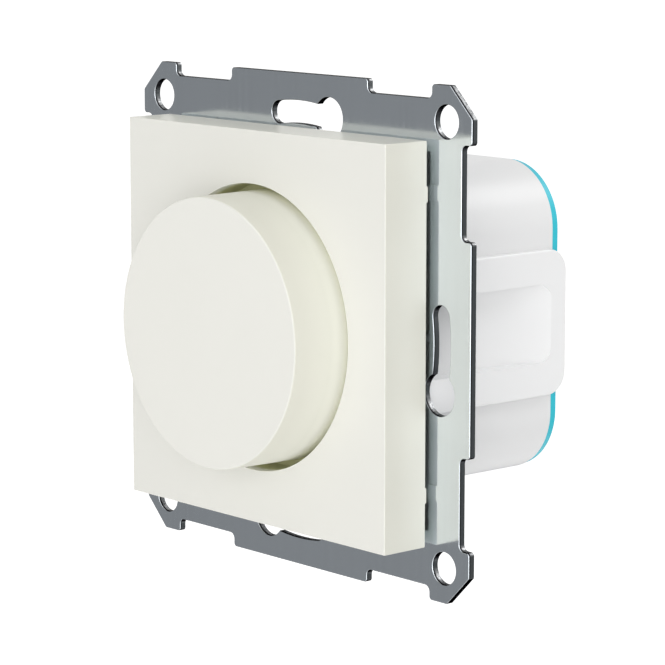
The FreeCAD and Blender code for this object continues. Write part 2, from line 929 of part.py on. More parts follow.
def triac_screw():
    y0 = carrier_plate
    y1 = carrier_plate + heat_sheet + triac_tab
    x = triac_hole_x
    z = triac_level
    head = rod(triac_screw_head, y1, y1 + triac_screw_head_length, x, z)
    groove = block(x - triac_screw_head, x + triac_screw_head, y1 + triac_screw_head_length / 2,
                   y1 + triac_screw_head_length + past, z - screw_slot / 2, z + screw_slot / 2)
    return rod(triac_screw_radius - snug, y0, y1, x, z).fuse(head).cut(groove).removeSplitter()


def bar_along_x(radius, x0, x1, y, z):
    """Cylinder along X."""
    return Part.makeCylinder(radius, x1 - x0, Vector(x0, y, z), Vector(1, 0, 0))


def fuse_axis():
    """Level and height of the fuse's axis."""
    return board_depth - fuse_clip_sheet - fuse_radius - fuse_stand, fuse_inset - board_half_z


def fuse_glass():
    y, z = fuse_axis()
    half = fuse_length / 2 - fuse_cap_wall
    inner = fuse_radius - fuse_cap_wall
    return bar_along_x(inner, -half, half, y, z)


def fuse_caps():
    y, z = fuse_axis()
    half = fuse_length / 2
    cap = bar_along_x(fuse_radius, half - fuse_cap, half, y, z)
    inner = fuse_radius - fuse_cap_wall
    cap = cap.cut(bar_along_x(inner, half - fuse_cap - past, half - fuse_cap_wall, y, z))
    return Part.makeCompound([cap, mirrored(cap)])


def fuse_clips():
    """Two spring clips on the board that hold the fuse's caps."""
    y, z = fuse_axis()
    x1 = fuse_length / 2 - (fuse_cap - fuse_clip_width) / 2
    x0 = x1 - fuse_clip_width
    outer = fuse_radius + fuse_clip_sheet
    shell = bar_along_x(outer, x0, x1, y, z)
    foot = block(x0, x1, y + fuse_clip_foot, board_depth, z - fuse_radius / 2, z + fuse_radius / 2)
    mouth = block(x0 - past, x1 + past, y - outer - past, y - fuse_clip_mouth, z - outer, z + outer)
    seat = bar_along_x(fuse_radius, x0 - past, x1 + past, y, z)
    clip = shell.fuse(foot).cut([seat, mouth]).removeSplitter()
    return Part.makeCompound([clip, mirrored(clip)])


# Filter parts on the rear of the board

def choke_core_ring():
    y0 = board_back + choke_wire
    return ring(choke_radius, choke_hole, y0, y0 + choke_core, choke_x, choke_z)


def choke_winding():
    """Copper winding laid round the core, open over a short gap where its ends leave."""
    y0 = board_back
    y1 = y0 + choke_core + 2 * choke_wire
    outside = ring(choke_radius + choke_wire, choke_hole - choke_wire, y0, y1, choke_x, choke_z)
    half = choke_radius + 2 * choke_wire
    wedge_x = half * math.tan(math.radians(choke_gap_angle / 2))
    points = [
        Vector(choke_x, y0, choke_z),
        Vector(choke_x - wedge_x, y0, choke_z - half),
        Vector(choke_x + wedge_x, y0, choke_z - half),
        Vector(choke_x, y0, choke_z),
    ]
    gap = Part.Face(Part.makePolygon(points)).extrude(Vector(0, y1 - y0, 0))
    return outside.cut([choke_core_ring(), gap]).removeSplitter()


def line_capacitor():
    half_x = (capacitor_end - capacitor_start) / 2
    half_z = capacitor_height / 2
    middle = (capacitor_end + capacitor_start) / 2
    return rounded_block(half_x, half_z, capacitor_round, board_back, board_back + capacitor_depth,
                         middle, capacitor_z + half_z)


def smoothing_capacitor():
    can = rod(smoother_radius, board_depth - smoother_depth, board_depth, smoother_x, smoother_z)
    return can.makeChamfer(smoother_edge_break, edges_at(can, board_depth - smoother_depth))


def wired_body(radius, length, x, z):
    """Small wired part that lies along Z on the front of the board, legs bent down to it."""
    y = board_depth - radius
    z0 = z - length / 2
    low = z0 - resistor_lead_reach
    high = z0 + length + resistor_lead_reach
    half = resistor_lead
    body = Part.makeCylinder(radius, length, Vector(x, y, z0), Vector(0, 0, 1))
    legs = [block(x - half, x + half, y - half, board_depth, start, start + 2 * half)
            for start in (low, high - 2 * half)]
    stub = block(x - half, x + half, y - half, y + half, low, high)
    return body.fuse(legs + [stub]).removeSplitter()


def resistors():
    rows = [wired_body(resistor_radius, resistor_length, resistor_x + offset, 0)
            for offset in (-resistor_pitch / 2, resistor_pitch / 2)]
    return Part.makeCompound(rows)


def diac():
    return wired_body(diac_radius, diac_length, smoother_x, diac_z)


nodes = {
    "support_frame": support_frame,
    "carrier": carrier,
    "centre_plate": centre_plate,
    "bush": bush,
    "washer": washer,
    "nut": nut,
    "knob": knob,
    "knob_clip": knob_clip,
    "shaft": shaft,
    "resistance_track": resistance_track,
    "wiper": wiper,
    "control_can": control_can_shell,
    "switch_body": switch_body,
    "switch_plunger": switch_plunger,
    "contact_bridge": contact_bridge,
    "switch_contacts": switch_contacts,
    "return_spring": return_spring,
    "housing": housing,
    "rear_cover": rear_cover,
    "frame_screws": frame_screws,
    "circuit_board": circuit_board,
    "terminal_block": terminal_block,
    "terminal_cages": terminal_cages,
    "terminal_screws": terminal_screws,
    "heat_plate": heat_plate,
    "triac": triac,
    "triac_screw": triac_screw,
    "fuse_glass": fuse_glass,
    "fuse_caps": fuse_caps,
    "fuse_clips": fuse_clips,
    "choke_core": choke_core_ring,
    "choke_winding": choke_winding,
    "line_capacitor": line_capacitor,
    "smoothing_capacitor": smoothing_capacitor,
    "resistors": resistors,
    "diac": diac,
}

os.makedirs("parts", exist_ok=True)
for name, build in nodes.items():
    shape = build()
    shape.exportStep("parts/" + name + ".step")
    print(name, "solids", len(shape.Solids), "valid", shape.isValid(), "volume", round(shape.Volume, 2))
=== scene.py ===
# %% [markdown]
# # A rotary dimmer insert
# This lesson dresses a packed dimmer: a round knob in a square cover, a stamped steel frame, and a white
# housing with a turquoise lid that goes into the wall. The imported model is loaded first and never moved. The
# five pieces that the eye rests on are modelled again with fine edges, one spring is wound again as a coil,
# and every other piece gets its finish.

# %% Load the imported dimmer
import json
import math
import bmesh
import bpy
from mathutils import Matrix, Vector


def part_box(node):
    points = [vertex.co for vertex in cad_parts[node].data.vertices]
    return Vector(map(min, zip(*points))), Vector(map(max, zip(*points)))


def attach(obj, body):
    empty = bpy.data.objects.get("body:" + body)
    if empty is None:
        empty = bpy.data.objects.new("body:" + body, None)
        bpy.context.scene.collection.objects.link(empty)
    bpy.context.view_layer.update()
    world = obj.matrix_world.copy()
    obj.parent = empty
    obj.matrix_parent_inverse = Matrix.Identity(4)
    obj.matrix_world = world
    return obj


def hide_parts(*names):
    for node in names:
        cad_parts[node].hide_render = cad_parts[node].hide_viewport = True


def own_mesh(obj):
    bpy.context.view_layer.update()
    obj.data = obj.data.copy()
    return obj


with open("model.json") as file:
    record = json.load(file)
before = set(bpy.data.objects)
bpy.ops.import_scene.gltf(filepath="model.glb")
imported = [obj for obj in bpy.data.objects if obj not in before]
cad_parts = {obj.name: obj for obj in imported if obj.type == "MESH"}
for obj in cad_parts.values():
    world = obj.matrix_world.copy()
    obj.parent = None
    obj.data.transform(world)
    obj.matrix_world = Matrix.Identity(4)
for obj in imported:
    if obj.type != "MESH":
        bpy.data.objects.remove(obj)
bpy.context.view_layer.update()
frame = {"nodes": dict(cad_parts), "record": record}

# %% [markdown]
# ## Hands for modelling
# In the window you would click a shape and drag it. A script does the same with operators, but an operator
# acts on whatever is selected, so each helper first lets go of everything. All pieces end with their object
# at the origin, because patterns that read object coordinates would slide otherwise.

# %% Adding solids at their size and place
mm = 0.001


def let_go():
    if bpy.context.object and bpy.context.object.mode != "OBJECT":
        bpy.ops.object.mode_set(mode="OBJECT")
    bpy.ops.object.select_all(action="DESELECT")


def hold(piece):
    let_go()
    piece.select_set(True)
    bpy.context.view_layer.objects.active = piece


def settle(piece, name):
    """Name a piece and put its place and size into its mesh."""
    hold(piece)
    bpy.ops.object.transform_apply(location=True, rotation=True, scale=True)
    piece.name = name
    piece.data.name = name
    return piece


def add_box(name, low, high):
    let_go()
    middle = (Vector(low) + Vector(high)) / 2
    bpy.ops.mesh.primitive_cube_add(size=1, location=middle, scale=Vector(high) - Vector(low))
    return settle(bpy.context.object, name)


def add_rod(name, radius, start, end, x=0.0, z=0.0, sides=96):
    """Round bar along Y from one level to another."""
    let_go()
    bpy.ops.mesh.primitive_cylinder_add(vertices=sides, radius=radius, depth=end - start,
                                        location=(x, (start + end) / 2, z), rotation=(math.pi / 2, 0, 0))
    return settle(bpy.context.object, name)

# %% [markdown]
# A mould maker rounds every edge a little, and a stamping has rolled edges. In edit mode an edge is picked
# by where it lies, which reads like pointing at it, and is then bevelled.

# %% Picking edges and faces by place
def pick(piece, kind, wanted):
    """Select the edges or faces whose test is true, in edit mode."""
    hold(piece)
    bpy.ops.object.mode_set(mode="EDIT")
    bpy.ops.mesh.select_mode(type=kind)
    bpy.ops.mesh.select_all(action="DESELECT")
    mesh = bmesh.from_edit_mesh(piece.data)
    found = [part for part in (mesh.edges if kind == "EDGE" else mesh.faces) if wanted(part)]
    for part in found:
        part.select_set(True)
    bmesh.update_edit_mesh(piece.data)
    return len(found)


def ends(edge):
    return edge.verts[0].co, edge.verts[1].co


def at_level(edge, y, slack=0.02 * mm):
    return all(abs(point.y - y) < slack for point in ends(edge))


def along_depth(edge):
    a, b = ends(edge)
    return abs(a.x - b.x) < 1e-6 and abs(a.z - b.z) < 1e-6


def round_edges(piece, wanted, size, steps):
    count = pick(piece, "EDGE", wanted)
    bpy.ops.mesh.bevel(offset=size, segments=steps, affect="EDGES", clamp_overlap=False)
    let_go()
    print(piece.name, "edges rounded:", count)

# %% [markdown]
# Hollows, holes and ribs come from adding and cutting solids, as a mould maker thinks of steel and plastic.
# The exact solver is slower than the fast one, but it copes with faces that lie in one plane.

# %% Adding and cutting solids
def combine(piece, other, how):
    hold(piece)
    bpy.ops.object.modifier_add(type="BOOLEAN")
    step = piece.modifiers[-1]
    step.operation = how
    step.solver = "EXACT"
    step.object = other
    bpy.ops.object.modifier_apply(modifier=step.name)
    bpy.data.objects.remove(other, do_unlink=True)


def add_to(piece, *others):
    for other in others:
        combine(piece, other, "UNION")


def cut_from(piece, *others):
    for other in others:
        combine(piece, other, "DIFFERENCE")

# %% [markdown]
# Large flat faces beside small rounded edges need face-weighted normals: without them a flat wall seems to
# swell towards its edge. The mesh is first cleaned of double points, and its faces are turned outwards.

# %% Finishing a piece
smooth_angle = math.radians(40)


def finish_piece(piece, body, slot, *nodes):
    hold(piece)
    bpy.ops.object.mode_set(mode="EDIT")
    bpy.ops.mesh.select_all(action="SELECT")
    bpy.ops.mesh.remove_doubles(threshold=0.002 * mm)
    bpy.ops.mesh.normals_make_consistent(inside=False)
    bpy.ops.object.mode_set(mode="OBJECT")
    bpy.ops.object.shade_smooth_by_angle(angle=smooth_angle)
    bpy.ops.object.modifier_add(type="WEIGHTED_NORMAL")
    piece.modifiers[-1].keep_sharp = True
    bpy.ops.object.modifier_apply(modifier=piece.modifiers[-1].name)
    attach(piece, body)
    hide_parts(*nodes)
    print(piece.name, "faces:", len(piece.data.polygons))

# %% [markdown]
# ## The steel support frame
# It is stamped from 1 mm sheet. The punch rolls the sheet over at the front and leaves a torn wall behind.
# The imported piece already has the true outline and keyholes, so a copy of it is merged, its flat triangles
# are dissolved into whole faces, and only the front edges get the roll.

# %% Steel frame with rolled front edges
frame_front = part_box("support_frame")[0][1]
steel = frame["nodes"]["support_frame"].copy()
steel.data = steel.data.copy()
bpy.context.collection.objects.link(steel)
steel.parent = None
settle(steel, "stamped_frame")
hold(steel)
bpy.ops.object.mode_set(mode="EDIT")
bpy.ops.mesh.select_all(action="SELECT")
bpy.ops.mesh.remove_doubles(threshold=0.001 * mm)
bpy.ops.mesh.dissolve_limited(angle_limit=math.radians(0.5))
let_go()


def front_rim(edge):
    """An edge where the front face meets a cut wall."""
    if not at_level(edge, frame_front) or len(edge.link_faces) != 2:
        return False
    return abs(edge.link_faces[0].normal.y - edge.link_faces[1].normal.y) > 0.5


edge_roll = 0.10 * mm
round_edges(steel, front_rim, edge_roll, 3)
finish_piece(steel, "root", "zinc_steel", "support_frame")

# %% [markdown]
# ## The centre plate
# A hollow square moulding with a round well that the knob sinks into. It could be one outline pushed back,
# but cutting a rounded block with a rod gives the same walls as the mould, and a clean rim to round.

# %% Centre plate: block, hollow and well
plate_low, plate_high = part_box("centre_plate")
plate_half = plate_high[0]
plate_front = plate_low[1]
plate_rim = plate_front + 7.45 * mm
plate_inside = plate_half - 1.7 * mm
plate_under = plate_front + 1.8 * mm
plate_far = 5 * mm
plate_edge = 0.16 * mm
well_radius = 20.4 * mm
well_wall = 1.4 * mm
well_floor = -4.2 * mm
well_back = -2.3 * mm
well_edge = 0.12 * mm
bush_hole_radius = 5.1 * mm
overlap = 0.2 * mm
past = 1.0 * mm


def on_circle(edge, radius, x=0.0, z=0.0, slack=0.05 * mm):
    return all(abs(math.hypot(point.x - x, point.z - z) - radius) < slack for point in ends(edge))


cover = add_box("centre_cover", (-plate_half, plate_front, -plate_half), (plate_half, plate_rim, plate_half))
round_edges(cover, lambda edge: at_level(edge, plate_front) or along_depth(edge), plate_edge, 3)
hollow = add_box("hollow", (-plate_inside, plate_under, -plate_inside),
                 (plate_inside, plate_far, plate_inside))
cut_from(cover, hollow)
add_to(cover, add_rod("well", well_radius + well_wall, plate_under - overlap, well_back, sides=160))
cut_from(cover, add_rod("opening", well_radius, plate_front - 2 * past, well_floor, sides=192))
cut_from(cover, add_rod("bush_hole", bush_hole_radius, well_floor - past, past, sides=64))
round_edges(cover, lambda edge: at_level(edge, plate_front) and on_circle(edge, well_radius), well_edge, 3)

# %% [markdown]
# Stiffening ribs cross the hollow from the well to the walls, and two small feet on each side keep the rim
# just off the steel, which shows as a fine dark line in the gap.

# %% Ribs and feet
rib_half = 0.5 * mm
rib_reach = 0.8 * mm
rib_below_rim = 2.4 * mm
foot_far = plate_half - 6.2 * mm
foot_length = 2.1 * mm
foot_root = 0.5 * mm
hair = 0.01 * mm
for side in range(4):
    turn = math.pi / 2 * side
    rib = add_box("rib", (well_radius + well_wall / 2, plate_under - overlap, -rib_half),
                  (plate_inside + rib_reach, plate_rim - rib_below_rim, rib_half))
    feet = [add_box("foot", (low, plate_rim - foot_root, plate_inside + hair),
                    (low + foot_length, plate_high[1], plate_half - hair))
            for low in (foot_far - foot_length, -foot_far)]
    for part in [rib] + feet:
        hold(part)
        bpy.ops.transform.rotate(value=turn, orient_axis="Y", center_override=(0, 0, 0))
        add_to(cover, settle(part, part.name))
finish_piece(cover, "root", "cream_plastic", "centre_plate")

# %% [markdown]
# ## The knob
# A cup whose side widens towards the wall, so that it leaves its mould. It starts as a cylinder: the front
# ring is drawn in and rounded, the back is inset and pushed forward into a hollow, and the socket for the
# shaft grows back out of it. Six ribs then stiffen the cup.

# %% Knob drawn from a cylinder
knob_low, knob_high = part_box("knob")
knob_front = knob_low[1]
knob_rim = knob_high[1]
face_radius = 19.1 * mm
rim_radius = knob_high[0]
knob_edge = 0.25 * mm
knob = add_rod("turning_knob", rim_radius, knob_front, knob_rim, sides=224)
pick(knob, "FACE", lambda face: face.normal.y < -0.9)
bpy.ops.transform.resize(value=(face_radius / rim_radius, 1, face_radius / rim_radius),
                         center_override=(0, knob_front, 0))
bpy.ops.mesh.bevel(offset=knob_edge, segments=5, affect="EDGES", clamp_overlap=False)


def pull(by):
    """Extrude the chosen face along Y."""
    bpy.ops.mesh.extrude_region_move(TRANSFORM_OT_translate={"value": (0, by, 0)})


knob_wall = 1.5 * mm
knob_inside = knob_front + 1.7 * mm
socket_radius = 4.6 * mm
socket_wall = 2.55 * mm
socket_back = -9.2 * mm
knob_rib_high = 3.6 * mm
pick(knob, "FACE", lambda face: face.normal.y > 0.9)
bpy.ops.mesh.inset(thickness=knob_wall)
pull(knob_inside - knob_rim)
bpy.ops.mesh.inset(thickness=rim_radius - knob_wall - socket_radius)
pull(socket_back - knob_inside)
bpy.ops.mesh.inset(thickness=socket_wall)
pull(knob_inside - socket_back)
let_go()
for spoke in range(6):
    rib = add_box("rib", (socket_radius - 0.3 * mm, knob_inside - 0.1 * mm, -rib_half),
                  (rim_radius - knob_wall - overlap, knob_inside + knob_rib_high, rib_half))
    hold(rib)
    bpy.ops.transform.rotate(value=math.pi / 3 * spoke, orient_axis="Y", center_override=(0, 0, 0))
    add_to(knob, settle(rib, "rib"))
finish_piece(knob, "dial", "cream_plastic", "knob")

# %% [markdown]
# ## The white housing
# A tub with round corners that is open at both ends, a raised pad on each side with a scoop for the claws,
# and hooks that snap over the lid. The scoop is a shallow sweep of a large cylinder, held inside a window
# with round rear corners, because that is how its floor rises slowly towards the back.

# %% Tub of the housing
house_low, house_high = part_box("housing")
lid_low, lid_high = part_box("rear_cover")
tub_half_x = lid_high[0]
tub_half_z = lid_high[2]
tub_front = house_low[1]
lid_thick = 1.19 * mm
lid_front = lid_high[1] - lid_thick
tub_wall = 1.8 * mm
tub_corner = 9.4 * mm


def add_round_box(name, half_x, half_z, corner, start, end):
    piece = add_box(name, (-half_x, start, -half_z), (half_x, end, half_z))
    round_edges(piece, along_depth, corner, 24)
    return piece


tub = add_round_box("white_housing", tub_half_x, tub_half_z, tub_corner, tub_front, lid_front)

# %% [markdown]
# A pad and the window of its scoop are both slabs with round rear corners. Such a slab is a box whose two
# rear edges are bevelled wide, and one helper makes both.

# %% Slab with round rear corners
def lies_along_x(edge):
    a, b = ends(edge)
    return abs(a.y - b.y) < 1e-6 and abs(a.z - b.z) < 1e-6


def add_slab(name, x0, x1, start, end, half, corner):
    """Slab on the right side with round rear corners."""
    piece = add_box(name, (x0, start, -half), (x1, end, half))
    round_edges(piece, lambda edge: lies_along_x(edge) and edge.verts[0].co.y > end - 1e-6, corner, 12)
    return piece

# %% [markdown]
# The raised pad runs along the tub's side and ends in a hook that snaps over the lid. Its outer rim is softly
# broken, and room for the lid is cut out of the hook.

# %% Raised pad
pad_half = 10.5 * mm
pad_back = house_high[1]
pad_out = house_high[0]
pad_corner = 3.3 * mm
pad_edge = 0.3 * mm
pad_root = 0.7 * mm
lid_room = 0.05 * mm


def outer_rim(edge):
    return all(abs(point.x - pad_out) < 1e-6 for point in ends(edge)) and not at_level(edge, tub_front)


def add_pad():
    """Raised pad whose hook reaches over the lid, with room cut out for the lid."""
    pad = add_slab("pad", tub_half_x - pad_root, pad_out, tub_front, pad_back, pad_half, pad_corner)
    round_edges(pad, outer_rim, pad_edge, 4)
    cut_from(pad, add_box("room", (0, lid_front, -pad_half - past),
                          (tub_half_x + lid_room, lid_high[1] + lid_room, pad_half + past)))
    return pad

# %% [markdown]
# The scoop lets a claw swing out. Its floor is the belly of a large cylinder, whose radius follows from the
# scoop's depth and half its run, and the window cuts its outline.

# %% Scoop for the claws
scoop_depth = 2.6 * mm
scoop_middle = 10.0 * mm
scoop_end = pad_back - 3.0 * mm
scoop_half = 5.65 * mm
scoop_corner = 2.4 * mm


def add_scoop():
    """The solid that a scoop takes away: a large cylinder's belly held inside a window."""
    half_run = scoop_end - scoop_middle
    sweep_radius = (half_run ** 2 + scoop_depth ** 2) / (2 * scoop_depth)
    let_go()
    bpy.ops.mesh.primitive_cylinder_add(vertices=720, radius=sweep_radius, depth=2 * scoop_half,
                                        location=(pad_out - scoop_depth + sweep_radius, scoop_middle, 0))
    sweep = settle(bpy.context.object, "scoop")
    window = add_slab("window", pad_out - scoop_depth - past, pad_out + past, tub_front - past, scoop_end,
                      scoop_half, scoop_corner)
    combine(sweep, window, "INTERSECT")
    return sweep

# %% [markdown]
# Pads and scoops are modelled on the right and mirrored, and the mirrored copy has its faces turned out
# again. A thicker wall behind each scoop keeps its floor whole.

# %% Tub with pads and scoops
def mirror_over(piece):
    """Turn a right-hand solid into the left-hand one."""
    hold(piece)
    bpy.ops.object.mode_set(mode="EDIT")
    bpy.ops.mesh.select_all(action="SELECT")
    bpy.ops.transform.resize(value=(-1, 1, 1), center_override=(0, 0, 0))
    bpy.ops.mesh.normals_make_consistent(inside=False)
    let_go()
    return piece


backing_low = 20.44 * mm
backing_thick = 2.06 * mm
backing_half = scoop_half + tub_wall
backing_front = tub_front + 2 * mm
post_back = 14.0 * mm


def add_backing():
    """Thicker wall behind a scoop, so that the scoop's floor doesn't break through."""
    return add_box("backing", (backing_low, backing_front, -backing_half),
                   (backing_low + backing_thick, post_back, backing_half))


cut_from(tub, add_round_box("hollow", tub_half_x - tub_wall, tub_half_z - tub_wall, tub_corner - tub_wall,
                            tub_front - past, lid_front + past))
add_to(tub, add_pad(), mirror_over(add_pad()), add_backing(), mirror_over(add_backing()))
cut_from(tub, add_scoop(), mirror_over(add_scoop()))
print("tub with pads, faces:", len(tub.data.polygons))

# %% [markdown]
# Underneath, three round holes let a screwdriver reach the terminals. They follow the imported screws. Four
# posts in the corners take the screws that hold frame and housing together.

# %% Screwdriver holes and screw posts
screws_low, screws_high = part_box("terminal_screws")
screw_y = (screws_low[1] + screws_high[1]) / 2
screw_head = 4.2 * mm
screw_pitch = (screws_high[0] - screws_low[0] - screw_head) / 2
screwdriver_radius = 2.4 * mm
hole_depth = 4 * mm
for step in (-1, 0, 1):
    let_go()
    bpy.ops.mesh.primitive_cylinder_add(vertices=64, radius=screwdriver_radius, depth=hole_depth,
                                        location=(step * screw_pitch, screw_y, -tub_half_z + mm))
    cut_from(tub, settle(bpy.context.object, "screwdriver_hole"))
post_inset = 5.55 * mm
post_radius = 2.8 * mm
pilot_radius = 1.2 * mm
pilot_back = 9.6 * mm
corners = [(side_x * (tub_half_x - post_inset), side_z * (tub_half_z - post_inset))
           for side_x in (1, -1) for side_z in (1, -1)]
for x, z in corners:
    add_to(tub, add_rod("post", post_radius, tub_front + hair, post_back, x, z, sides=48))
    cut_from(tub, add_rod("pilot", pilot_radius, tub_front - past, pilot_back, x, z, sides=32))
finish_piece(tub, "root", "white_plastic", "housing")

# %% [markdown]
# ## The turquoise lid
# A plate with the housing's outline, a fine step lower so that it drops in cleanly, and three wire entries
# with funnels behind. Its back edge is broken, and four pegs hold the circuit board against the screw posts.

# %% Lid with wire entries
lid_step = 0.15 * mm
lid = add_round_box("turquoise_lid", tub_half_x, tub_half_z - lid_step, tub_corner, lid_front, lid_high[1])
lid_edge = 0.25 * mm
round_edges(lid, lambda edge: at_level(edge, lid_high[1]), lid_edge, 3)
wire_z = -14.52 * mm
wire_radius = 1.8 * mm
funnel = 0.5 * mm
for step in (-1, 0, 1):
    x = step * screw_pitch
    cut_from(lid, add_rod("entry", wire_radius, lid_front - past, lid_high[1] + past, x, wire_z, sides=64))
    round_edges(lid, lambda edge: at_level(edge, lid_high[1])
                and on_circle(edge, wire_radius, x, wire_z, slack=0.02 * mm), funnel, 4)
peg_radius = 1.6 * mm
peg_root = 0.3 * mm
for x, z in corners:
    add_to(lid, add_rod("peg", peg_radius, lid_low[1], lid_front + peg_root, x, z, sides=40))
finish_piece(lid, "root", "turquoise_plastic", "rear_cover")

# %% [markdown]
# Each solid that was added or cut away leaves its mesh behind with no object. These are cleared away.

# %% Clear leftover meshes
for helper in list(bpy.data.meshes):
    if helper.users == 0:
        bpy.data.meshes.remove(helper)
print("pieces modelled:", [piece.name for piece in (steel, cover, knob, tub, lid)])

# %% [markdown]
# ## The return spring
# The spring behind the plunger shortens as the knob is pushed. The imported spring keeps its length; a coil
# takes its place: a ring of points as thick as the wire, wound round the axis three times, with both ends
# closed.

# %% Coil wound with a screw
coil_low, coil_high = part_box("return_spring")
coil_wire = 0.2 * mm
coil_turns = 3
coil_length = coil_high[1] - coil_low[1]
let_go()
bpy.ops.mesh.primitive_circle_add(vertices=12, radius=coil_wire,
                                  location=(coil_high[0] - coil_wire, coil_low[1] + coil_wire, 0))
coil = settle(bpy.context.object, "return_coil")
hold(coil)
bpy.ops.object.modifier_add(type="SCREW")
winding = coil.modifiers[-1]
winding.axis = "Y"
winding.iterations = coil_turns
winding.steps = 40
winding.render_steps = 40
winding.screw_offset = (coil_length - 2 * coil_wire) / coil_turns
bpy.ops.object.modifier_apply(modifier=winding.name)
bpy.ops.object.mode_set(mode="EDIT")
bpy.ops.mesh.select_all(action="SELECT")
bpy.ops.mesh.remove_doubles(threshold=0.002 * mm)
bpy.ops.mesh.fill_holes(sides=12)
let_go()
finish_piece(coil, "root", "spring_steel", "return_spring")
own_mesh(coil)

# %% [markdown]
# ## Finishes
# Each finish starts from one shader. Colour is never quite even on a real piece, so a soft noise moves it a
# little, a second finer noise moves the gloss, and a third raises the grain.

# %% A finish with its own grain
class Finish:
    """One material: the shader and what feeds it."""

    def __init__(self, name, colour, rough, metal=0.0):
        self.material = bpy.data.materials.new(name)
        self.material.use_nodes = True
        self.tree = self.material.node_tree
        self.shader = self.tree.nodes["Principled BSDF"]
        self.shader.inputs["Metallic"].default_value = metal
        self.colour = colour
        self.rough = rough
        self.place = self.tree.nodes.new("ShaderNodeTexCoord").outputs["Object"]

    def node(self, kind, **settings):
        made = self.tree.nodes.new(kind)
        for key, value in settings.items():
            setattr(made, key, value)
        return made

    def link(self, a, b):
        self.tree.links.new(a, b)

    def stretched(self, scale):
        """The piece's own coordinates, finer or longer along each axis."""
        mapping = self.node("ShaderNodeMapping")
        mapping.inputs["Scale"].default_value = scale
        self.link(self.place, mapping.inputs["Vector"])
        return mapping.outputs["Vector"]

    def noise(self, scale, stretch=(1, 1, 1), detail=3.0, rough=0.5):
        made = self.node("ShaderNodeTexNoise")
        made.inputs["Scale"].default_value = scale
        made.inputs["Detail"].default_value = detail
        made.inputs["Roughness"].default_value = rough
        self.link(self.stretched(stretch), made.inputs["Vector"])
        return made.outputs["Fac"]

    def span(self, value, low, high, start=0.3, end=0.7):
        """Spread a value that runs from start to end over low to high."""
        made = self.node("ShaderNodeMapRange")
        for key, number in (("From Min", start), ("From Max", end), ("To Min", low), ("To Max", high)):
            made.inputs[key].default_value = number
        self.link(value, made.inputs["Value"])
        return made.outputs["Result"]

    def split(self, vector):
        made = self.node("ShaderNodeSeparateXYZ")
        self.link(vector, made.inputs[0])
        return made.outputs

    def math(self, how, a, b=None):
        made = self.node("ShaderNodeMath", operation=how)
        for slot, value in enumerate((a, b)):
            if value is None:
                continue
            if isinstance(value, (int, float)):
                made.inputs[slot].default_value = value
            else:
                self.link(value, made.inputs[slot])
        return made.outputs[0]

    def blend(self, share, first, second):
        """Mix two colours: a share of 0 is all first, 1 is all second."""
        made = self.node("ShaderNodeMix", data_type="RGBA")
        self.link(share, made.inputs[0])
        for slot, value in ((6, first), (7, second)):
            if isinstance(value, tuple):
                made.inputs[slot].default_value = (*value, 1)
            else:
                self.link(value, made.inputs[slot])
        return made.outputs[2]

    def raised(self, height, depth, under=None):
        """Grain that stands up by a depth, over another grain where one is given."""
        made = self.node("ShaderNodeBump")
        made.inputs["Strength"].default_value = 1.0
        made.inputs["Distance"].default_value = depth
        self.link(height, made.inputs["Height"])
        if under is not None:
            self.link(under, made.inputs["Normal"])
        return made.outputs["Normal"]

    def shaded(self, factor):
        return tuple(part * factor for part in self.colour)


def moulded(name, colour, rough, grain=9000, depth=0.002 * mm, uneven=0.02):
    """Moulded plastic: faint flow clouds in the colour, a satin that varies, and a fine grain."""
    f = Finish(name, colour, rough)
    clouds = f.noise(45, detail=1)
    f.link(f.blend(clouds, f.shaded(1 - uneven), f.shaded(1.0)), f.shader.inputs["Base Color"])
    satin = f.noise(90, detail=1)
    f.link(f.span(satin, rough - 0.04, rough + 0.04, 0, 1), f.shader.inputs["Roughness"])
    f.link(f.raised(f.noise(grain, detail=2), depth), f.shader.inputs["Normal"])
    return f

# %% [markdown]
# The cover and knob are satin cream plastic. Their side walls are painted darker and warmer than the front,
# as painted shade, told apart by the direction each face looks in. Inside the narrow well the light bounces
# between cream walls and turns to olive, which the shader alone gives too weakly, so the cover gets olive
# painted shade by the distance from the knob's axis, and painted shade on the hidden part of its rim. The knob
# is painted lighter in three steps by its depth, as painted light. The well's first millimetre is painted
# light for the light that it throws onto the knob's seam.

# %% Cream plastic
cream = (0.79, 0.785, 0.735)
# Painted shade: the side walls' colours are darker and warmer than the front.
shaded_warm_side = (0.725, 0.72, 0.64)
shaded_knob_side = (0.78, 0.775, 0.685)
# Painted light for the well's first millimetre, olive painted shade deeper in the well.
lit_well = (0.95, 0.95, 0.9)
olive_painted_shade = (0.76, 0.76, 0.45)
shaded_rim = (0.72, 0.75, 0.68)


def cream_moulding(name, rough, shaded_side_colour):
    """Cream plastic with painted shade on its side walls, darker and warmer than the front."""
    f = moulded(name, cream, rough)
    facing = f.split(f.node("ShaderNodeTexCoord").outputs["Normal"])
    side = f.span(f.math("ABSOLUTE", facing[1]), 1.0, 0.0, 0.3, 0.9)
    front = f.shader.inputs["Base Color"].links[0].from_socket
    f.link(f.blend(side, front, shaded_side_colour), f.shader.inputs["Base Color"])
    return f


def tint(f, share, colour):
    """Lay a further colour over a finish by a share."""
    under = f.shader.inputs["Base Color"].links[0].from_socket
    f.link(f.blend(share, under, colour), f.shader.inputs["Base Color"])


